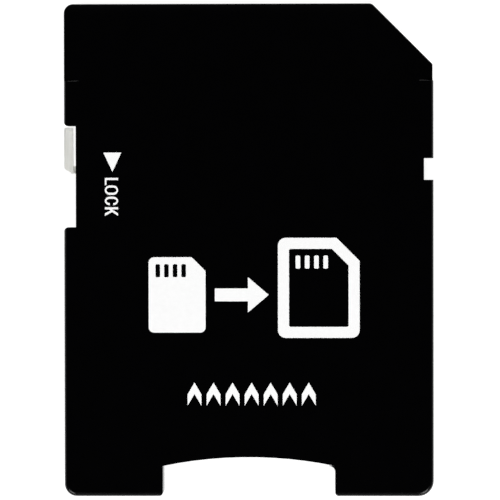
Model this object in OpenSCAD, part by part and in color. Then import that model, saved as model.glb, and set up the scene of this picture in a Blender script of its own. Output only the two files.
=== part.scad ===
// Memory card adapter: a flat two-shell plastic card that carries a smaller memory card.
// The contact edge points along +Y, the printed face along +Z, and the card lies on its contact side.
// The origin is the middle of the underside of the overall box. Lengths are millimetres.

/* [Card] */
// Width across the two long edges
card_w = 24; // [23.5:0.1:26]
// Length from the rear edge to the contact edge
card_l = 32; // [31.5:0.1:36]
// Overall thickness
card_t = 2.1; // [2.05:0.05:2.6]
// Leg of the 45 degree corner cut
corner_cut = 4; // [3.6:0.1:4.1]
// Height of the seam between the two shells
seam_h = 1.4; // [1.3:0.05:1.5]
// Height of the step below the guide rails
rail_step = 0.7; // [0.5:0.05:0.9]
// Width of the guide rails
rail_w = 0.75; // [0.5:0.05:0.8]

/* [Edges] */
// Rounding of the long outer edges
edge_r = 0.3; // [0.15:0.05:0.35]
// Corner radius at the contact edge
front_corner_r = 0.6; // [0.4:0.05:1]
// Corner radius at the rear, left of the label side
rear_left_r = 0.8; // [0.4:0.05:1.5]
// Corner radius at the rear, right of the label side
rear_right_r = 1.0; // [0.4:0.05:1.5]
// Corner radius at both ends of the corner cut
cut_corner_r = 0.4; // [0.36:0.02:0.6]
// Width of the bevel round the nose
nose_bevel_w = 0.95; // [0.6:0.05:1.2]
// Drop of the bevel at the outer edge
nose_bevel_drop = 0.2; // [0.1:0.05:0.3]
// Length of the bevelled nose
nose_l = 5; // [4:0.1:6]
// Set-back of the nose on the right-hand side
nose_step = 0.06; // [0.04:0.01:0.1]

/* [Small card bay] */
// Width of the small card
small_card_w = 11; // [10.8:0.05:11.4]
// Length of the small card
small_card_l = 15; // [14.6:0.1:15.4]
// Thickness of the small card where it slides
small_card_t = 0.7; // [0.6:0.05:0.8]
// Clearance on each side of the small card
bay_side_gap = 0.1; // [0.05:0.01:0.15]
// Clearance above the small card
bay_top_gap = 0.1; // [0.05:0.01:0.15]
// Clearance in front of the small card
bay_end_gap = 0.2; // [0.1:0.05:0.4]
// Amount by which the small card is narrower in front
key_w = 1.3; // [1.1:0.05:1.4]
// Distance of the narrowing from the rear edge
key_start = 8.2; // [7.9:0.1:8.6]

/* [Thumb cut-out] */
// Depth of the cut-out at its sides
cutout_side_d = 1.98; // [1.6:0.02:2.4]
// Depth of the cut-out in the middle
cutout_mid_d = 2.55; // [2.5:0.05:3.2]
// Corner radius at the mouth of the cut-out
cutout_mouth_r = 0.28; // [0.15:0.01:0.4]
// Radius of the inner corner on the right-hand side
cutout_inner_r = 0.4; // [0.2:0.05:0.6]

/* [Side notches] */
// Distance of the lock notch from the contact edge
lock_notch_start = 7.93; // [7.9:0.05:8.4]
// Length of the lock notch
lock_notch_l = 6.57; // [6.2:0.05:7]
// Depth of the lock notch
lock_notch_d = 0.78; // [0.7:0.01:0.85]
// Corner radius at the mouth of the lock notch
lock_mouth_r = 0.3; // [0.15:0.05:0.4]
// Distance of the plain notch from the contact edge
plain_notch_start = 10.05; // [9.5:0.05:11]
// Length of the plain notch
plain_notch_l = 1.4; // [1:0.05:2]
// Depth of the plain notch
plain_notch_d = 0.62; // [0.4:0.02:0.75]

/* [Lock slider] */
// Length of the slider knob
knob_l = 2.99; // [2.6:0.01:3.4]
// Set-back of the slanted end of the knob at its outer face
knob_slant = 0.3; // [0.2:0.02:0.6]
// Set-back of the knob's outer face from the card's edge
knob_set_back = 0.03; // [0:0.01:0.2]
// Outer corner radius of the knob in front
knob_front_r = 0.14; // [0.08:0.02:0.3]
// Outer corner radius of the knob at its slanted end
knob_rear_r = 0.26; // [0.1:0.02:0.4]
// Clearance round the slider
slider_gap = 0.05; // [0.04:0.01:0.08]
// Wall between the notch and the slider channel
channel_wall = 0.4; // [0.35:0.01:0.42]
// Width of the slider channel
channel_w = 0.6; // [0.5:0.01:0.62]
// Height of the slider channel
channel_h = 0.8; // [0.7:0.02:0.9]
// Thickness of the slider neck
neck_t = 0.4; // [0.3:0.02:0.5]

/* [Contacts] */
// Depth of the contact pads below the contact side
pad_recess = 0.7; // [0.65:0.01:0.75]
// Thickness of the stamped leads
lead_t = 0.15; // [0.12:0.01:0.18]
// Distance of the first pad from the corner-cut edge
first_pad = 3.125; // [3.1:0.005:3.15]
// Distance of the last pad from the lock edge
last_pad = 1.75; // [1.7:0.01:1.8]
// Step from the last main pad to the first narrow one
narrow_step_1 = 2.425; // [2.4:0.005:2.45]
// Step between the two narrow pads
narrow_step_2 = 1.7; // [1.65:0.01:1.75]
// Width of the rib between two wells
well_rib = 0.6; // [0.5:0.02:0.8]
// Distance of a pad from the contact edge
pad_start = 1.6; // [1.55:0.05:2]
// Distance of the back end of the pads from the contact edge
pad_end = 6.3; // [6:0.1:6.8]
// Margin of the open well beside a pad
well_margin = 0.1; // [0.05:0.01:0.12]
// Thickness of the sill in front of the pads
sill_t = 0.2; // [0.15:0.01:0.25]
// Pitch of the spring fingers
finger_pitch = 1.1; // [1.05:0.01:1.12]
// Width of a spring finger
finger_w = 0.6; // [0.5:0.02:0.65]
// Height of a free finger above the bay floor
finger_rise = 0.2; // [0.1:0.02:0.3]
// Distance of the finger roots from the bay's inner end
finger_root = 3.1; // [2.8:0.1:3.4]
// Distance of the finger contact points inside the bay
finger_reach = 2.4; // [2:0.1:3]

/* [Hidden] */
$fn = 48;
hair = 0.01; // overlap that joins faces, or clears them
past = 1; // length by which a cut runs past a face
root = 0.3; // overlap of joined bodies that need a firm hold
seam_r = 0.04; // broken edges along the seam
rail_r = 0.1; // lower edge of the guide rails

lead_y = card_l / 2;
rear_y = -card_l / 2;
side_x = card_w / 2;
cut_sum = side_x + lead_y - corner_cut; // x + y along the corner cut
wall_t = 0.75; // outer wall round the contact carrier, across the corner cut too

bay_w = small_card_w + 2 * bay_side_gap;
lead_cover = 0.05; // skin of the shell between the leads and the small card
bay_floor = pad_recess + lead_t + lead_cover;
bay_roof = bay_floor + small_card_t + bay_top_gap;
bay_end_y = rear_y + small_card_l + bay_end_gap;
key_x = bay_w / 2 - key_w;
key_y = rear_y + key_start;

// Pads from the corner-cut side: a first one that is set back, six at the main pitch, then
// two narrow ones that stand closer together.
pad_pitch = (card_w - first_pad - last_pad - narrow_step_1 - narrow_step_2) / 6;
pad_w = pad_pitch - well_rib - 2 * well_margin;
first_pad_w = 1.2;
first_pad_start = 2.65;
seventh_pad_w = 1.2;
eighth_pad_w = 0.9;
function pad_x(i) = side_x - first_pad - min(i, 6) * pad_pitch
    - (i > 6 ? narrow_step_1 : 0) - (i > 7 ? narrow_step_2 : 0);
function pad_width(i) = i == 0 ? first_pad_w : i == 7 ? seventh_pad_w : i == 8 ? eighth_pad_w : pad_w;
function pad_front(i) = lead_y - (i == 0 ? first_pad_start : pad_start);
pad_back_y = lead_y - pad_end;
PADS = [0:8];
ground_bar_w = 0.4;
ground_bar_gap = 0.25;
ground_bar_y = lead_y - pad_start + ground_bar_gap; // rear edge of the bar in front of the pads

// Fingers stand centred on the narrow front of the small card, in the order of the pads.
finger_mid_x = (key_x - bay_w / 2) / 2;
function finger_x(k) = finger_mid_x + (3.5 - k) * finger_pitch;
root_y = bay_end_y + finger_root;
contact_y = bay_end_y - finger_reach;
lead_z = pad_recess + lead_t / 2;
finger_bend_r = 0.8;
finger_tip_angle = 25;
finger_tip_l = 0.5;
finger_neck_l = 0.4; // straight stretch before the finger leaves the carrier
trough_z = 0.45; // floor of the pit in which the fingers flex
trough_l = 1.5; // pit beyond the contact points
trough_y = contact_y - trough_l;
comb_gap = 0.1;
strip_w = 0.6;

carrier_gap = 0.05;
carrier_left_wall = 0.3; // insulator past the last pad
carrier_right_wall = 0.45; // insulator past the first pad
carrier_front_wall = 0.05; // insulator in front of the ground bar
carrier_back_wall = 0.1; // insulator behind the pads
carrier_left_x = pad_x(8) - pad_width(8) / 2 - carrier_left_wall;
carrier_right_x = pad_x(0) + pad_width(0) / 2 + carrier_right_wall;
carrier_front_y = ground_bar_y + ground_bar_w + carrier_front_wall;

notch_front_y = lead_y - lock_notch_start;
notch_rear_y = notch_front_y - lock_notch_l;
notch_x = -side_x + lock_notch_d;
channel_x = notch_x + channel_wall;
channel_mid_z = seam_h;
channel_in_x = channel_x + channel_w;
knob_out_x = -side_x + knob_set_back;
knob_relief = 0.1; // the knob stands off the notch wall ahead of its foot
knob_draft = 0.12; // lean of its inner face, away from the wall at the bottom
knob_foot_l = 0.16;
knob_front_gap = 0.1; // ahead of the knob at rest
neck_l = 0.45;
neck_in = 0.05; // from the rear end of the knob
flange_l = 1.95;

peg_d = 1;
peg_h = 0.4;
peg_gap = 0.05;
peg_rear_in = 3.4; // rear pegs, in from the rear and side edges
peg_side_in = 3;
peg_right_in = 2.6; // front right peg, in from its side and back from the contact edge
peg_right_back = 14;
peg_left_in = 4.6; // front left peg, likewise
peg_left_back = 17.5;
PEGS = [[side_x - peg_side_in, rear_y + peg_rear_in], [-side_x + peg_side_in, rear_y + peg_rear_in],
        [side_x - peg_right_in, lead_y - peg_right_back], [-side_x + peg_left_in, lead_y - peg_left_back]];

spring_t = 0.15;
spring_gap = 0.06; // above and below the leaf
spring_pocket_w = 0.75;
spring_l = 5.4; // from its hooked end to its free end
spring_end_gap = 0.1;
spring_y1 = key_y - spring_end_gap; // free end
spring_y0 = spring_y1 - spring_l; // hooked end
spring_bump_in = 1.1; // from the free end to the top of the bump
spring_bump_y = spring_y1 - spring_bump_in;
spring_bump = 0.5;
spring_bump_l = 1.05; // half its length
spring_bend_r = 0.2;
spring_hook = 1.1;
spring_in = 0.3; // leaf behind the wall of the bay
spring_x = bay_w / 2 + spring_in;

// Corner circles of the card's plan, for a half width and a corner-cut line
function plan_corners(half_w, sum) = [
    [-half_w + front_corner_r, lead_y - front_corner_r, front_corner_r],
    [sum - lead_y - cut_corner_r * tan(22.5), lead_y - cut_corner_r, cut_corner_r],
    [half_w - cut_corner_r, sum - half_w - cut_corner_r * tan(22.5), cut_corner_r],
    [half_w - rear_right_r, rear_y + rear_right_r, rear_right_r],
    [-half_w + rear_left_r, rear_y + rear_left_r, rear_left_r]];

// Quarter round of radius r about [x, z], from angle a to a + 90
function quarter(x, z, r, a) = r <= hair ? [[x, z]] :
    [for (i = [0:4]) let (b = a + 22.5 * i) [x + r * cos(b), z + r * sin(b)]];

// Half section of a disc of radius r and height h with rounded rims
function rim(r, h, low_r, high_r) = concat([[0, 0]],
    quarter(r - low_r, low_r, low_r, -90), quarter(r - high_r, h - high_r, high_r, 0), [[0, h]]);

// Points of a strip of thickness t along a path
function heading(p, i) = let (d = p[min(i + 1, len(p) - 1)] - p[max(i - 1, 0)]) d / norm(d);
function side_point(p, i, s) = p[i] + s * [-heading(p, i).y, heading(p, i).x];
function strip(p, t) = concat([for (i = [0:len(p) - 1]) side_point(p, i, t / 2)],
    [for (i = [len(p) - 1:-1:0]) side_point(p, i, -t / 2)]);

// A plate of the card's plan with its rims rounded
module slab(half_w, sum, h, low_r, high_r) {
    hull()
        for (c = plan_corners(half_w, sum))
            translate([c.x, c.y, 0])
                rotate_extrude($fn = 32)
                    polygon(rim(c[2], h, low_r, high_r));
}

// What a rounded convex corner of radius r leaves of its square, on the side of [sx, sy]
module spandrel(r, sx, sy) {
    x0 = sx > 0 ? 0 : -r;
    y0 = sy > 0 ? 0 : -r;
    difference() {
        translate([x0, y0])
            square(r);
        translate([sx * r, sy * r])
            circle(r);
    }
}

module thumb_cutout_2d() {
    sagitta = cutout_mid_d - cutout_side_d;
    arch_r = (pow(bay_w / 2, 2) + pow(sagitta, 2)) / (2 * sagitta);
    difference() {
        translate([-bay_w / 2, rear_y - past])
            square([bay_w, cutout_mid_d + past]);
        difference() {
            translate([-bay_w, rear_y + cutout_side_d - hair])
                square([2 * bay_w, cutout_mid_d]);
            translate([0, rear_y + cutout_mid_d - arch_r])
                circle(arch_r, $fn = 256);
        }
        translate([bay_w / 2, rear_y + cutout_side_d])
            spandrel(cutout_inner_r, -1, -1);
    }
    for (s = [-1, 1])
        translate([s * bay_w / 2, rear_y])
            spandrel(cutout_mouth_r, s, 1);
}

// The lock notch on the left and the plain notch on the right
module side_notches_2d() {
    translate([-side_x - past, notch_rear_y])
        square([lock_notch_d + past, lock_notch_l]);
    translate([-side_x, notch_front_y])
        spandrel(lock_mouth_r, 1, 1);
    translate([-side_x, notch_rear_y])
        spandrel(lock_mouth_r, 1, -1);
    translate([side_x - plain_notch_d, lead_y - plain_notch_start - plain_notch_l])
        square([plain_notch_d + past, plain_notch_l]);
    translate([side_x - nose_step, lead_y - nose_l])
        square([nose_step + past, nose_l + past]);
}

module plan_cuts() {
    translate([0, 0, -past])
        linear_extrude(card_t + 2 * past) {
            thumb_cutout_2d();
            side_notches_2d();
        }
}

// Wedge below the nose bevel: u runs inwards from the edge, along a length from v0 to v1
module bevel_wedge(v0, v1) {
    slope = nose_bevel_drop / nose_bevel_w;
    translate([0, v0, card_t])
        rotate([90, 0, 180])
            linear_extrude(v1 - v0)
                polygon([[-nose_bevel_w, 0], [past, -slope * (nose_bevel_w + past)],
                         [past, past], [-nose_bevel_w, past]]);
}

module nose_bevel() {
    translate([-side_x, 0, 0])
        bevel_wedge(lead_y - nose_l, lead_y + past);
    translate([side_x, 0, 0])
        mirror([1, 0, 0])
            bevel_wedge(lead_y - nose_l, lead_y + past);
    translate([0, lead_y, 0])
        rotate(-90)
            bevel_wedge(-side_x - past, side_x + past);
    translate([cut_sum / 2, cut_sum / 2, 0])
        rotate(-135)
            bevel_wedge(-card_w, card_w);
}

// Outline of the bay: the small card's own keyed shape with its clearances
module bay_2d() {
    polygon([[-bay_w / 2, rear_y - past], [bay_w / 2, rear_y - past], [bay_w / 2, key_y],
             [key_x, key_y + key_w], [key_x, bay_end_y], [-bay_w / 2, bay_end_y]]);
}

module spring_pocket_2d() {
    translate([bay_w / 2 - hair, spring_y0 - spring_t])
        square([spring_pocket_w + hair, spring_l + spring_end_gap + spring_t]);
    translate([bay_w / 2, spring_y0 - spring_t / 2 - slider_gap])
        square([spring_in + spring_hook + slider_gap, spring_t + 2 * slider_gap]);
}

// Closed channel behind the lock notch, and the slit through its wall
module slider_channel() {
    translate([channel_x, notch_rear_y, channel_mid_z - channel_h / 2])
        cube([channel_w, lock_notch_l, channel_h]);
    translate([notch_x - hair, notch_rear_y, channel_mid_z - neck_t / 2 - slider_gap])
        cube([channel_wall + 2 * hair, lock_notch_l, neck_t + 2 * slider_gap]);
}

module label_side_shell() {
    color([0.05, 0.05, 0.055])
        difference() {
            translate([0, 0, seam_h])
                slab(side_x, cut_sum, card_t - seam_h, seam_r, edge_r);
            plan_cuts();
            nose_bevel();
            translate([0, 0, seam_h - past])
                linear_extrude(bay_roof - seam_h + past) {
                    bay_2d();
                    spring_pocket_2d();
                }
            slider_channel();
            for (p = PEGS)
                translate([p.x, p.y, seam_h - past])
                    cylinder(d = peg_d + 2 * peg_gap, h = past + peg_h + peg_gap);
        }
}

// Plan of the insulating carrier, grown by g
module carrier_2d(g) {
    wall_sum = cut_sum - wall_t * sqrt(2) + g;
    rear_left = finger_x(7) - finger_pitch / 2 - g;
    rear_right = finger_x(0) + finger_pitch / 2 + g;
    left = carrier_left_x - g;
    right = carrier_right_x + g;
    front = carrier_front_y + g;
    back = pad_back_y - carrier_back_wall;
    beside_channel = [channel_in_x + channel_wall - g, notch_front_y - g];
    polygon([[left, back], beside_channel, [rear_left, root_y - g], [rear_right, root_y - g],
             [right, back], [right, wall_sum - right], [wall_sum - front, front], [left, front]]);
}

// Open wells in which the pads lie, each behind a sill at the contact edge
module pad_wells() {
    for (i = PADS) {
        w = pad_width(i) + 2 * well_margin;
        back = pad_back_y + root;
        translate([pad_x(i) - w / 2, back, -past])
            cube([w, pad_front(i) - back, pad_recess + past + hair]);
        translate([pad_x(i) - w / 2, back, -past])
            cube([w, lead_y - back + past, pad_recess - sill_t + past]);
    }
}

// Pit under the fingers, with a comb of ribs that keeps them apart where they leave the carrier
module finger_pit() {
    x0 = finger_x(7) - finger_pitch / 2;
    x1 = finger_x(0) + finger_pitch / 2;
    rib_w = finger_pitch - finger_w - 2 * comb_gap;
    difference() {
        translate([x0, trough_y, trough_z])
            cube([x1 - x0, root_y - trough_y + hair, seam_h]);
        for (k = [0:6])
            translate([finger_x(k) - finger_pitch / 2 - rib_w / 2, bay_end_y, trough_z - past])
                cube([rib_w, root_y - bay_end_y + past, seam_h + 2 * past]);
    }
}

module contact_side_shell() {
    color([0.05, 0.05, 0.055]) {
        difference() {
            union() {
                slab(side_x - rail_w, cut_sum - rail_w * sqrt(2), rail_step + root, edge_r, 0);
                translate([0, 0, rail_step])
                    slab(side_x, cut_sum, seam_h - rail_step, rail_r, seam_r);
            }
            plan_cuts();
            translate([0, 0, bay_floor])
                linear_extrude(card_t) {
                    bay_2d();
                    spring_pocket_2d();
                }
            translate([0, 0, pad_recess])
                linear_extrude(card_t)
                    carrier_2d(carrier_gap);
            pad_wells();
            finger_pit();
            slider_channel();
        }
        for (p = PEGS)
            translate([p.x, p.y, seam_h - root])
                cylinder(d = peg_d, h = peg_h + root);
    }
}

// Flat part of a lead: its pad, and the strip that runs back to its finger root
module lead_blank_2d(i, k) {
    w = pad_width(i);
    x0 = finger_x(k) - finger_w / 2;
    x1 = finger_x(k) + finger_w / 2;
    neck_y = root_y + finger_neck_l;
    translate([pad_x(i) - w / 2, pad_back_y])
        square([w, pad_front(i) - pad_back_y]);
    polygon([[pad_x(i) - strip_w / 2, pad_back_y + hair], [x0, neck_y], [x0, root_y],
             [x1, root_y], [x1, neck_y], [pad_x(i) + strip_w / 2, pad_back_y + hair]]);
}

// The ground lead has two pads, joined by a bar in front of the two pads between them.
module ground_blank_2d() {
    lead_blank_2d(6, 5);
    for (i = [3, 6])
        translate([pad_x(i) - pad_w / 2, pad_back_y])
            square([pad_w, ground_bar_y + ground_bar_w - pad_back_y]);
    translate([pad_x(6), ground_bar_y])
        square([pad_x(3) - pad_x(6), ground_bar_w]);
}

// Spring finger: a long rise to the contact bend, then a tip that dives for the card's edge
module finger(k) {
    top_z = bay_floor + finger_rise - lead_t / 2;
    rise = atan((top_z - lead_z) / (root_y - contact_y));
    bend_z = top_z - finger_bend_r;
    steps = 6;
    bend = [for (j = [0:steps]) let (a = -rise + (finger_tip_angle + rise) * j / steps)
        [contact_y - finger_bend_r * sin(a), bend_z + finger_bend_r * cos(a)]];
    tip = bend[steps] - finger_tip_l * [cos(finger_tip_angle), sin(finger_tip_angle)];
    path = concat([[root_y + root, lead_z], [root_y, lead_z]], bend, [tip]);
    translate([finger_x(k) - finger_w / 2, 0, 0])
        rotate([90, 0, 90])
            linear_extrude(finger_w)
                polygon(strip(path, lead_t));
}

module lead(i, k) {
    color([0.83, 0.68, 0.36]) {
        translate([0, 0, pad_recess])
            linear_extrude(lead_t)
                lead_blank_2d(i, k);
        finger(k);
    }
}

module lead_ground() {
    color([0.83, 0.68, 0.36]) {
        translate([0, 0, pad_recess])
            linear_extrude(lead_t)
                ground_blank_2d();
        finger(5);
    }
}

// Insulator moulded round the leads, which fills the space behind the pads up to the seam
module contact_carrier() {
    color([0.09, 0.09, 0.095])
        difference() {
            translate([0, 0, pad_recess])
                linear_extrude(seam_h - pad_recess)
                    carrier_2d(0);
            translate([0, 0, pad_recess - past])
                linear_extrude(lead_t + past) {
                    for (ik = [[0, 0], [1, 1], [2, 2], [4, 3], [5, 4], [7, 6], [8, 7]])
                        lead_blank_2d(ik[0], ik[1]);
                    ground_blank_2d();
                }
        }
}

// Stamped leaf beside the bay, hooked at its rear end, with a bump that holds the small card
function leaf_x(y) = let (u = (y - spring_bump_y) / spring_bump_l)
    spring_x - (abs(u) < 1 ? spring_bump * (1 + cos(180 * u)) / 2 : 0);

module card_spring() {
    leaf_y = spring_y0 + spring_bend_r;
    bend_x = spring_x + spring_bend_r;
    steps = 24;
    path = concat([[spring_x + spring_hook, spring_y0]],
        [for (a = [270:-30:180]) [bend_x + spring_bend_r * cos(a), leaf_y + spring_bend_r * sin(a)]],
        [for (j = [1:steps]) let (y = leaf_y + (spring_y1 - leaf_y) * j / steps) [leaf_x(y), y]]);
    color([0.75, 0.76, 0.78])
        translate([0, 0, bay_floor + spring_gap])
            linear_extrude(bay_roof - bay_floor - 2 * spring_gap)
                polygon(strip(path, spring_t));
}

// Plan of the knob out to inner_x: rounded outer corners, and an end that slants back to the edge
module knob_2d(front, rear, inner_x) {
    slant = atan(knob_slant / (inner_x - knob_out_x));
    hull() {
        translate([knob_out_x + knob_front_r, front - knob_front_r])
            circle(knob_front_r);
        translate([knob_out_x + knob_rear_r, rear + knob_slant + knob_rear_r * tan(45 - slant / 2)])
            circle(knob_rear_r);
        translate([inner_x - hair, rear])
            square([hair, front - rear]);
    }
}

// Lock slider: outer knob in the notch, neck through the slit and a flange in the channel
module lock_slider() {
    front = notch_front_y - knob_front_gap;
    rear = front - knob_l;
    knob_z = rail_step + slider_gap;
    knob_h = card_t - rail_step - 2 * slider_gap;
    knob_in_x = notch_x - slider_gap;
    top_x = knob_in_x - knob_relief;
    foot_x = top_x - knob_draft - hair;
    neck_y = rear + neck_in;
    neck_x = knob_in_x - root;
    flange_x = channel_x + slider_gap;
    color([0.84, 0.85, 0.83]) {
        hull() {
            translate([0, 0, knob_z])
                linear_extrude(hair)
                    knob_2d(front, rear, top_x - knob_draft);
            translate([0, 0, knob_z + knob_h - hair])
                linear_extrude(hair)
                    knob_2d(front, rear, top_x);
        }
        translate([foot_x, rear, knob_z])
            cube([knob_in_x - foot_x, knob_foot_l, knob_h]);
        translate([neck_x, neck_y, channel_mid_z - neck_t / 2])
            cube([flange_x + slider_gap - neck_x, neck_l, neck_t]);
        translate([flange_x, neck_y - slider_gap, channel_mid_z - channel_h / 2 + slider_gap])
            cube([channel_w - 2 * slider_gap, flange_l, channel_h - 2 * slider_gap]);
    }
}

label_side_shell();
contact_side_shell();
contact_carrier();
lead(0, 0);  // lead_data2
lead(1, 1);  // lead_data3
lead(2, 2);  // lead_command
lead(4, 3);  // lead_supply
lead(5, 4);  // lead_clock
lead_ground();
lead(7, 6);  // lead_data0
lead(8, 7);  // lead_data1
card_spring();
lock_slider();
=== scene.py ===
import math

import bmesh
import bpy
import numpy as np
from mathutils import Matrix, Vector


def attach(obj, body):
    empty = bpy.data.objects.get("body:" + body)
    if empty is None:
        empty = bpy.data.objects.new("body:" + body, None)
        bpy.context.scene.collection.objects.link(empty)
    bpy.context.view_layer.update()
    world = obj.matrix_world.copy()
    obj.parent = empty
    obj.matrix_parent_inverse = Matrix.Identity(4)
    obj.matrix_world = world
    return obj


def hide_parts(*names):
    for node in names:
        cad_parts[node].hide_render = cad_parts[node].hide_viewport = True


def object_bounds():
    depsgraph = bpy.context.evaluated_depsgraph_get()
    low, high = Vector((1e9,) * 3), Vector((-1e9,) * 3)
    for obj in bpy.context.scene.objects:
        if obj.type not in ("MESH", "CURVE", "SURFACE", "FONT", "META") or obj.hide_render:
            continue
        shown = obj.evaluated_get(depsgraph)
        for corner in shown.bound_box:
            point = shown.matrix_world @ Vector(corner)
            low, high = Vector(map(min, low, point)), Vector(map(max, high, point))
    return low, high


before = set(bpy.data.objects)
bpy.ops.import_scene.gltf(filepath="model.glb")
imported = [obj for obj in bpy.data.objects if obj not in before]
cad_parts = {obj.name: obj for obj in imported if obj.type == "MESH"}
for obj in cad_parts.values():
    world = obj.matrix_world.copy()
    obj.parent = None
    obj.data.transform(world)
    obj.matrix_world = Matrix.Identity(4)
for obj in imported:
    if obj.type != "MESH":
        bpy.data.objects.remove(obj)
cad_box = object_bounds()
scene = bpy.context.scene
MM = 0.001


# Camera
# The photograph looks almost straight down on the printed face, from far off, with the contact edge up.
# Its distance is chosen, and the small tilts, the roll and the lens come from the outline's corners.
view_distance = 250.0
view_offset = Vector((-0.041, 0.025, -view_distance)) * MM
view_pitch, view_yaw, view_roll = (math.radians(a) for a in (1.013, -1.363, 0.075))
pixels_per_radian = 3820.0
frame_pixels = 500
sensor_mm = 36.0
nearest_seen, farthest_seen = 10 * MM, 20.0

turn = (Matrix.Rotation(view_roll, 3, "Z") @ Matrix.Rotation(view_yaw, 3, "Y")
        @ Matrix.Rotation(view_pitch, 3, "X"))
camera = bpy.data.objects.new("camera", bpy.data.cameras.new("camera"))
camera.data.sensor_width = sensor_mm
camera.data.lens = pixels_per_radian * sensor_mm / frame_pixels
camera.data.clip_start = nearest_seen
camera.data.clip_end = farthest_seen
camera.matrix_world = Matrix.Translation(-(turn.transposed() @ view_offset)) @ turn.transposed().to_4x4()
scene.collection.objects.link(camera)
scene.camera = camera
scene.view_settings.view_transform = "Standard"


# Table, lamps and surroundings
# A white table top, three soft lamps round the card, and a studio that is pale at the horizon and dark
# overhead, so the black face stays black and only its rounded rims catch light. The table glows white
# where it is looked at, straight or in a reflection, and is pale grey paint for the light it gives back.
def add(tree, kind, inputs=None, **settings):
    """Adds a shader node with its settings; an input is a value, or a (node, output) pair to link."""
    made = tree.nodes.new(kind)
    for key, value in settings.items():
        setattr(made, key, value)
    for key, value in (inputs or {}).items():
        if isinstance(value, tuple) and isinstance(value[0], bpy.types.Node):
            tree.links.new(value[0].outputs[value[1]], made.inputs[key])
        else:
            made.inputs[key].default_value = value
    return made


def colour(code):
    """The linear colour of an sRGB hex code: c/12.92 up to 0.04045, else ((c + 0.055)/1.055) to the 2.4."""
    c = np.array([int(code[i:i + 2], 16) for i in (1, 3, 5)]) / 255
    return (*np.where(c <= 0.04045, c / 12.92, ((c + 0.055) / 1.055) ** 2.4).tolist(), 1.0)


table_radius = 1.5
table_sides = 96
table_drop = 0.02 * MM
table_shade = "#a8a8a8"
table_glow = 0.86

table_material = bpy.data.materials.new("white_table_top")
table_material.use_nodes = True
tree = table_material.node_tree
tree.nodes.clear()
path = add(tree, "ShaderNodeLightPath")
seen = add(tree, "ShaderNodeMath", {0: (path, "Is Camera Ray"), 1: (path, "Is Glossy Ray")},
           operation="MAXIMUM")
seen = add(tree, "ShaderNodeMath", {0: (seen, 0), 1: (path, "Is Transmission Ray")}, operation="MAXIMUM")
glow = add(tree, "ShaderNodeMath", {0: (seen, 0), 1: table_glow}, operation="MULTIPLY")
shine = add(tree, "ShaderNodeEmission", {"Strength": (glow, 0)})
paint = add(tree, "ShaderNodeBsdfDiffuse", {"Color": colour(table_shade)})
both = add(tree, "ShaderNodeAddShader", {0: (paint, 0), 1: (shine, 0)})
side = add(tree, "ShaderNodeNewGeometry")
clear = add(tree, "ShaderNodeBsdfTransparent")
one_sided = add(tree, "ShaderNodeMixShader", {0: (side, "Backfacing"), 1: (both, 0), 2: (clear, 0)})
add(tree, "ShaderNodeOutputMaterial", {"Surface": (one_sided, 0)})

rim_angles = np.linspace(0, 2 * math.pi, table_sides, endpoint=False)
rim = np.stack([table_radius * np.cos(rim_angles), table_radius * np.sin(rim_angles),
                np.full(table_sides, -table_drop)], axis=1)
table_mesh = bpy.data.meshes.new("table")
table_mesh.from_pydata(rim.tolist(), [], [list(range(table_sides))])
table = bpy.data.objects.new("table", table_mesh)
table_mesh.materials.append(table_material)
scene.collection.objects.link(table)

# The watts of each lamp by its compass angle; both angles of a lamp are in degrees.
lamp_watts = {92.0: 1.85, 238.0: 2.35, 300.0: 2.35}
lamp_height = 35.0
lamp_size = 0.24
lamp_distance = 0.6

for azimuth, watts in lamp_watts.items():
    lamp_name = f"lamp_{azimuth:.0f}"
    lamp = bpy.data.objects.new(lamp_name, bpy.data.lights.new(lamp_name, "AREA"))
    lamp.data.size = lamp_size
    lamp.data.energy = watts
    a, e = math.radians(azimuth), math.radians(lamp_height)
    away = Vector((math.cos(a) * math.cos(e), math.sin(a) * math.cos(e), math.sin(e)))
    lamp.location = away * lamp_distance
    lamp.rotation_euler = away.to_track_quat("Z", "Y").to_euler()
    scene.collection.objects.link(lamp)

# The studio dims between these two heights, each the sine of its angle above the horizon.
dims_from, dims_to = 0.1, 0.6
horizon_light = 0.24
zenith_light = 0.0

world = bpy.data.worlds.new("studio")
scene.world = world
world.use_nodes = True
tree = world.node_tree
tree.nodes.clear()
where = add(tree, "ShaderNodeTexCoord")
axis = add(tree, "ShaderNodeSeparateXYZ", {0: (where, "Generated")})
dim = add(tree, "ShaderNodeMapRange", {"Value": (axis, "Z"), "From Min": dims_from, "From Max": dims_to,
                                       "To Min": horizon_light, "To Max": zenith_light})
path = add(tree, "ShaderNodeLightPath")
level = add(tree, "ShaderNodeMix", {"Factor": (path, "Is Camera Ray"), "A": (dim, 0), "B": 1.0})
sky = add(tree, "ShaderNodeBackground", {"Color": colour("#ffffff"), "Strength": (level, 0)})
add(tree, "ShaderNodeOutputWorld", {"Surface": (sky, 0)})


# The two shells
# Black ABS, injection moulded in a tool with a fine spark-eroded skin and welded together along the
# seam. The skin scatters a little light, its grain drawn a little coarse so that it shows, and the
# arrises that the tool leaves are broken very small.
sharp_from = math.radians(38)
flat_within = math.radians(0.6)
corner_weld = 0.0005 * MM
large_face_weight = 90


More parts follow.
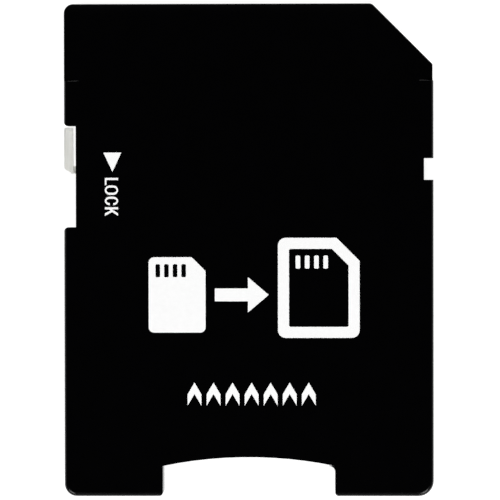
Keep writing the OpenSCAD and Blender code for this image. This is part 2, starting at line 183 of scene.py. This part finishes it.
def finished(name):
    """A copy of a node's mesh: triangles merged into faces, roundings smooth, and sharp corners kept."""
    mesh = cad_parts[name].data.copy()
    mesh.materials.clear()
    solid = bmesh.new()
    solid.from_mesh(mesh)
    bmesh.ops.remove_doubles(solid, verts=solid.verts, dist=corner_weld)
    bmesh.ops.dissolve_limit(solid, angle_limit=flat_within, verts=solid.verts, edges=solid.edges)
    for face in solid.faces:
        face.smooth = True
    for edge in solid.edges:
        edge.smooth = edge.calc_face_angle(0) < sharp_from
    solid.to_mesh(mesh)
    solid.free()
    made = bpy.data.objects.new(name + "_finished", mesh)
    scene.collection.objects.link(made)
    steady = made.modifiers.new("flat_faces_stay_flat", "WEIGHTED_NORMAL")
    steady.mode = "FACE_AREA"
    steady.weight = large_face_weight
    steady.keep_sharp = True
    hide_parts(name)
    return made


skin_grain = 0.11 * MM
skin_patch = 1.6 * MM
skin_depth = 0.0035 * MM
broken_edge = 0.05 * MM

moulded_abs = bpy.data.materials.new("black_abs_spark_eroded")
moulded_abs.use_nodes = True
tree = moulded_abs.node_tree
skin = tree.nodes["Principled BSDF"]
place = add(tree, "ShaderNodeTexCoord")
grain = add(tree, "ShaderNodeTexNoise", {"Vector": (place, "Object"), "Scale": 1 / skin_grain,
                                         "Detail": 3.0})
patch = add(tree, "ShaderNodeTexNoise", {"Vector": (place, "Object"), "Scale": 1 / skin_patch,
                                         "Detail": 2.0})
tone = add(tree, "ShaderNodeMix", {"Factor": (patch, 0), 6: colour("#010101"), 7: colour("#020203")},
           data_type="RGBA")
tree.links.new(tone.outputs[2], skin.inputs["Base Color"])
gloss = add(tree, "ShaderNodeMapRange", {"Value": (grain, 0), "To Min": 0.17, "To Max": 0.26})
tree.links.new(gloss.outputs[0], skin.inputs["Roughness"])
arris = add(tree, "ShaderNodeBevel", {"Radius": broken_edge}, samples=4)
relief = add(tree, "ShaderNodeBump", {"Height": (grain, 0), "Strength": 0.3, "Distance": skin_depth,
                                      "Normal": (arris, 0)})
tree.links.new(relief.outputs[0], skin.inputs["Normal"])
skin.inputs["IOR"].default_value = 1.53
skin.inputs["Specular IOR Level"].default_value = 0.17

for name in ("label_side_shell", "contact_side_shell"):
    shell = finished(name)
    shell.data.materials.append(moulded_abs)
    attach(shell, "housing")


# Contact carrier
# Glass-filled black insulator, moulded round the stamped leads: duller and a little greyer than the
# shells, with the faint streaks that the short fibres leave along the flow.
streak_width = 0.06 * MM
streak_length = 0.9 * MM

filled_lcp = bpy.data.materials.new("black_glass_filled_insulator")
filled_lcp.use_nodes = True
tree = filled_lcp.node_tree
skin = tree.nodes["Principled BSDF"]
place = add(tree, "ShaderNodeTexCoord")
run = add(tree, "ShaderNodeMapping", {"Vector": (place, "Object"),
                                      "Scale": (1 / streak_width, 1 / streak_length, 1 / streak_width)})
streak = add(tree, "ShaderNodeTexNoise", {"Vector": (run, 0), "Scale": 1.0, "Detail": 2.0})
tone = add(tree, "ShaderNodeMix", {"Factor": (streak, 0), 6: colour("#0e0e0f"), 7: colour("#222223")},
           data_type="RGBA")
tree.links.new(tone.outputs[2], skin.inputs["Base Color"])
skin.inputs["Roughness"].default_value = 0.55
skin.inputs["IOR"].default_value = 1.6

carrier = finished("contact_carrier")
carrier.data.materials.append(filled_lcp)
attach(carrier, "housing")


# Leads
# Stamped from copper alloy strip and gold plated: a warm bright metal whose pads carry fine wiping
# marks along the way the card slides.
wipe_pitch = 0.05 * MM
wipe_length = 2.5 * MM
plate_grain = 0.5 * MM

gold_plate = bpy.data.materials.new("gold_plated_copper_alloy")
gold_plate.use_nodes = True
tree = gold_plate.node_tree
skin = tree.nodes["Principled BSDF"]
place = add(tree, "ShaderNodeTexCoord")
run = add(tree, "ShaderNodeMapping", {"Vector": (place, "Object"),
                                      "Scale": (1 / wipe_pitch, 1 / wipe_length, 1 / wipe_pitch)})
wipe = add(tree, "ShaderNodeTexNoise", {"Vector": (run, 0), "Scale": 1.0, "Detail": 3.0})
cloud = add(tree, "ShaderNodeTexNoise", {"Vector": (place, "Object"), "Scale": 1 / plate_grain,
                                         "Detail": 1.0})
tone = add(tree, "ShaderNodeMix", {"Factor": (cloud, 0), 6: colour("#d9ab52"), 7: colour("#ecc878")},
           data_type="RGBA")
tree.links.new(tone.outputs[2], skin.inputs["Base Color"])
gloss = add(tree, "ShaderNodeMapRange", {"Value": (wipe, 0), "To Min": 0.18, "To Max": 0.4})
tree.links.new(gloss.outputs[0], skin.inputs["Roughness"])
relief = add(tree, "ShaderNodeBump", {"Height": (wipe, 0), "Strength": 0.4, "Distance": 0.001 * MM})
tree.links.new(relief.outputs[0], skin.inputs["Normal"])
skin.inputs["Metallic"].default_value = 1.0

for name in sorted(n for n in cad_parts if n.startswith("lead_")):
    lead = finished(name)
    lead.data.materials.append(gold_plate)
    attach(lead, "housing")


# Card spring
# A leaf of hard rolled stainless strip, stamped and bent, which holds the small card in the bay. It
# keeps the fine lines of the rolls along its length.
roll_pitch = 0.03 * MM
roll_length = 1.5 * MM

rolled_steel = bpy.data.materials.new("rolled_stainless_strip")
rolled_steel.use_nodes = True
tree = rolled_steel.node_tree
skin = tree.nodes["Principled BSDF"]
place = add(tree, "ShaderNodeTexCoord")
run = add(tree, "ShaderNodeMapping", {"Vector": (place, "Object"),
                                      "Scale": (1 / roll_pitch, 1 / roll_length, 1 / roll_pitch)})
line = add(tree, "ShaderNodeTexNoise", {"Vector": (run, 0), "Scale": 1.0, "Detail": 2.0})
tone = add(tree, "ShaderNodeMix", {"Factor": (line, 0), 6: colour("#a9abad"), 7: colour("#c9cbcc")},
           data_type="RGBA")
tree.links.new(tone.outputs[2], skin.inputs["Base Color"])
gloss = add(tree, "ShaderNodeMapRange", {"Value": (line, 0), "To Min": 0.2, "To Max": 0.38})
tree.links.new(gloss.outputs[0], skin.inputs["Roughness"])
skin.inputs["Metallic"].default_value = 1.0

leaf = finished("card_spring")
leaf.data.materials.append(rolled_steel)
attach(leaf, "housing")


# Lock slider
# A small knob of natural, unpigmented plastic in the left notch. Light goes a little way into it, and
# some of it through to the table, so it is a soft warm grey with slightly darker rims. Fine drag marks
# run along it, the way that it slides.
drag_width = 0.13 * MM
drag_length = 1.8 * MM
glow_depth = 0.6 * MM
worn_edge = 0.04 * MM

natural_plastic = bpy.data.materials.new("natural_moulded_plastic")
natural_plastic.use_nodes = True
tree = natural_plastic.node_tree
skin = tree.nodes["Principled BSDF"]
place = add(tree, "ShaderNodeTexCoord")
run = add(tree, "ShaderNodeMapping", {"Vector": (place, "Object"),
                                      "Scale": (1 / drag_width, 1 / drag_length, 1 / drag_width)})
drag = add(tree, "ShaderNodeTexNoise", {"Vector": (run, 0), "Scale": 1.0, "Detail": 2.0})
tone = add(tree, "ShaderNodeMix", {"Factor": (drag, 0), 6: colour("#dadad4"), 7: colour("#fffffa")},
           data_type="RGBA")
tree.links.new(tone.outputs[2], skin.inputs["Base Color"])
gloss = add(tree, "ShaderNodeMapRange", {"Value": (drag, 0), "To Min": 0.32, "To Max": 0.48})
tree.links.new(gloss.outputs[0], skin.inputs["Roughness"])
arris = add(tree, "ShaderNodeBevel", {"Radius": worn_edge}, samples=4)
tree.links.new(arris.outputs[0], skin.inputs["Normal"])
skin.inputs["Subsurface Weight"].default_value = 0.6
skin.inputs["Subsurface Radius"].default_value = (1.0, 0.95, 0.85)
skin.inputs["Subsurface Scale"].default_value = glow_depth
skin.inputs["Transmission Weight"].default_value = 0.6
skin.inputs["IOR"].default_value = 1.49

slider = finished("lock_slider")
slider.data.materials.append(natural_plastic)
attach(slider, "lock_slider")


# Print
# White ink, pad printed straight on the label side: a film a hundredth of a millimetre thick, dense
# and matt, with a faint mottle where the pad left it a little thinner.
ink_thickness = 0.008 * MM
ink_mottle = 0.25 * MM
ink_weld = 0.0002 * MM
face_height = cad_box[1][2]
left_edge, contact_edge = cad_box[0][0], cad_box[1][1]

white_ink = bpy.data.materials.new("white_pad_printing_ink")
white_ink.use_nodes = True
tree = white_ink.node_tree
skin = tree.nodes["Principled BSDF"]
place = add(tree, "ShaderNodeTexCoord")
mottle = add(tree, "ShaderNodeTexNoise", {"Vector": (place, "Object"), "Scale": 1 / ink_mottle,
                                          "Detail": 2.0})
tone = add(tree, "ShaderNodeMix", {"Factor": (mottle, 0), 6: colour("#f4f4f4"), 7: colour("#fcfcfc")},
           data_type="RGBA")
tree.links.new(tone.outputs[2], skin.inputs["Base Color"])
skin.inputs["Roughness"].default_value = 0.6


def printed(name, outlines, holes=()):
    """A film of ink on the label side, from closed outlines in mm from the left and contact edges."""
    flat = bpy.data.curves.new(name, "CURVE")
    flat.dimensions = "2D"
    flat.fill_mode = "BOTH"
    flat.extrude = ink_thickness / 2
    for loop in [*outlines, *holes]:
        at = np.asarray(loop, dtype=float) * MM
        spline = flat.splines.new("POLY")
        spline.points.add(len(at) - 1)
        points = np.stack([left_edge + at[:, 0], contact_edge - at[:, 1],
                           np.zeros(len(at)), np.ones(len(at))], axis=1)
        spline.points.foreach_set("co", points.ravel())
        spline.use_cyclic_u = True
    drawn = bpy.data.objects.new(name, flat)
    scene.collection.objects.link(drawn)
    bpy.context.view_layer.update()
    mesh = bpy.data.meshes.new_from_object(drawn)
    bpy.data.objects.remove(drawn)
    mesh.transform(Matrix.Translation((0, 0, face_height + ink_thickness / 2)))
    film = bmesh.new()
    film.from_mesh(mesh)
    bmesh.ops.remove_doubles(film, verts=film.verts, dist=ink_weld)
    bmesh.ops.recalc_face_normals(film, faces=film.faces)
    film.to_mesh(mesh)
    film.free()
    mesh.materials.clear()
    mesh.materials.append(white_ink)
    made = bpy.data.objects.new(name, mesh)
    scene.collection.objects.link(made)
    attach(made, "housing")


# Lock mark
# A solid triangle that points the way the slider locks, and the word for it, printed in the same ink and
# turned so that they read down the card's edge. Letters are cap height along +X and run to the rear.
def arc(centre, radii, start, end, count):
    """Points on an ellipse: centre + (rx cos a, ry sin a), for count angles in degrees, start to end."""
    a = np.radians(np.linspace(start, end, count))
    return np.stack([centre[0] + radii[0] * np.cos(a), centre[1] + radii[1] * np.sin(a)], axis=1)


def box_round(u0, v0, u1, v1, ru, rv, count):
    """A rectangle whose corners are quarter ellipses of radii ru and rv, with count points each."""
    corners = ((u1 - ru, v0 + rv, -90), (u1 - ru, v1 - rv, 0),
               (u0 + ru, v1 - rv, 90), (u0 + ru, v0 + rv, 180))
    return np.concatenate([arc((u, v), (ru, rv), a, a + 90, count) for u, v, a in corners])


triangle_left, triangle_right = 2.58, 3.745
triangle_top, triangle_tip = 9.65, 10.9
printed("lock_arrow", [[(triangle_left, triangle_top), ((triangle_left + triangle_right) / 2, triangle_tip),
                        (triangle_right, triangle_top)]])

cap_foot, cap_height = 2.67, 0.86
word_start = 11.295
stem, bar = 0.138, 0.105
letter_l, letter_o, letter_c, letter_k = 0.465, 0.61, 0.55, 0.56
gap_after_l, gap_after_o, gap_after_c = 0.025, 0.12, 0.135


def set_letter(outline, start):
    """Turns a letter drawn with u along its line and v up from its foot, so that it reads down the card."""
    at = np.asarray(outline)
    return np.stack([cap_foot + at[:, 1], start + at[:, 0]], axis=1)


start_o = word_start + letter_l + gap_after_l
start_c = start_o + letter_o + gap_after_o
start_k = start_c + letter_c + gap_after_c
bowl = 0.32
ring_steps, bow_steps = 12, 18

shape_l = [(0, 0), (letter_l, 0), (letter_l, bar), (stem, bar), (stem, cap_height), (0, cap_height)]
ring_out = box_round(0, 0, letter_o, cap_height, letter_o / 2, bowl, ring_steps)
ring_in = box_round(stem, bar, letter_o - stem, cap_height - bar, letter_o / 2 - stem, bowl - bar,
                    ring_steps)
outer_c, inner_c = (letter_c / 2, bowl), (letter_c / 2 - stem, bowl - bar)
high, low = (letter_c / 2, cap_height - bowl), (letter_c / 2, bowl)
shape_c = np.concatenate([arc(high, outer_c, 0, 180, bow_steps), arc(low, outer_c, 180, 360, bow_steps),
                          arc(low, inner_c, 360, 180, bow_steps), arc(high, inner_c, 180, 0, bow_steps)])
limb_end = 0.4
leg_joint, arm_joint = 0.26, 0.46
crotch, fork = (0.215, 0.37), (0.31, 0.47)
shape_k = [(0, 0), (stem, 0), (stem, leg_joint), crotch, (limb_end, 0), (letter_k, 0), fork,
           (letter_k, cap_height), (limb_end, cap_height), (stem, arm_joint), (stem, cap_height),
           (0, cap_height)]
printed("lock_word", [set_letter(shape_l, word_start), set_letter(ring_out, start_o),
                      set_letter(shape_c, start_c), set_letter(shape_k, start_k)],
        [set_letter(ring_in, start_o)])


# Pictogram
# A plain sign in the middle of the card, printed in the same ink: a small card goes into a larger one.
# Both cards are shown face up, each with its cut corner and four of its contacts.
sign_left, sign_top, sign_width, sign_height = 5.5, 15.2, 13.7, 6.5
small_w, small_h, small_cut, small_soft = 3.7, 4.9, 0.9, 0.35
small_lift = 0.35
large_w, large_cut, large_soft = 5.3, 1.5, 0.5
large_line, hollow_soft = 0.72, 0.12
slit_count, slit_w, slit_h, slit_soft = 4, 0.3, 0.85, 0.08
small_slit_inset, small_slit_pitch = 0.45, 0.56
large_slit_inset, large_slit_pitch = 1.15, 0.6
soft_steps, slit_steps = 6, 4


def card_outline(left, top, width, height, cut, soft):
    """A card seen face up: a rectangle with soft corners, and its right-hand corner cut at 45 degrees."""
    return np.concatenate([arc((left + soft, top + soft), (soft, soft), 180, 270, soft_steps),
                           [(left + width - cut, top), (left + width, top + cut)],
                           arc((left + width - soft, top + height - soft), (soft, soft), 0, 90, soft_steps),
                           arc((left + soft, top + height - soft), (soft, soft), 90, 180, soft_steps)])


def slit_row(left, top, pitch):
    """Short upright bars with soft corners, side by side: bar i starts at left + i times the pitch."""
    return [box_round(left + pitch * i, top, left + pitch * i + slit_w, top + slit_h,
                      slit_soft, slit_soft, slit_steps) for i in range(slit_count)]


small_top = sign_top + sign_height - small_h - small_lift
printed("sign_small_card", [card_outline(sign_left, small_top, small_w, small_h, small_cut, small_soft)],
        slit_row(sign_left + small_slit_inset, small_top + small_slit_inset, small_slit_pitch))

large_left = sign_left + sign_width - large_w
arrow_gap = 0.6
shaft_half, head_half, head_l = 0.42, 1.15, 1.35
shaft_y = small_top + small_h / 2
shaft_left = sign_left + small_w + arrow_gap
head_tip = large_left - arrow_gap
head_left = head_tip - head_l
printed("sign_arrow", [[(shaft_left, shaft_y - shaft_half), (head_left, shaft_y - shaft_half),
                        (head_left, shaft_y - head_half), (head_tip, shaft_y),
                        (head_left, shaft_y + head_half), (head_left, shaft_y + shaft_half),
                        (shaft_left, shaft_y + shaft_half)]])

hollow_cut = large_cut - large_line * (2 - math.sqrt(2))
large_slits = slit_row(large_left + large_slit_inset, sign_top + large_slit_inset, large_slit_pitch)
printed("sign_large_card",
        [card_outline(large_left, sign_top, large_w, sign_height, large_cut, large_soft), *large_slits],
        [card_outline(large_left + large_line, sign_top + large_line, large_w - 2 * large_line,
                      sign_height - 2 * large_line, hollow_cut, hollow_soft)])


# Chevrons
# A row of small arrowheads near the rear edge, printed in the same ink, which point the way the card
# goes in.
row_left, row_top, row_width, row_height = 8.02, 24.6, 8.32, 1.5
chevron_count = 7
chevron_gap = 0.34
chevron_line = 0.74
chevron_w = (row_width - (chevron_count - 1) * chevron_gap) / chevron_count
for i in range(chevron_count):
    left = row_left + i * (chevron_w + chevron_gap)
    middle, right = left + chevron_w / 2, left + chevron_w
    shoulder, foot = row_top + row_height - chevron_line, row_top + row_height
    printed(f"chevron_{i + 1}", [[(left, shoulder), (middle, row_top), (right, shoulder), (right, foot),
                                  (middle, row_top + chevron_line), (left, foot)]])
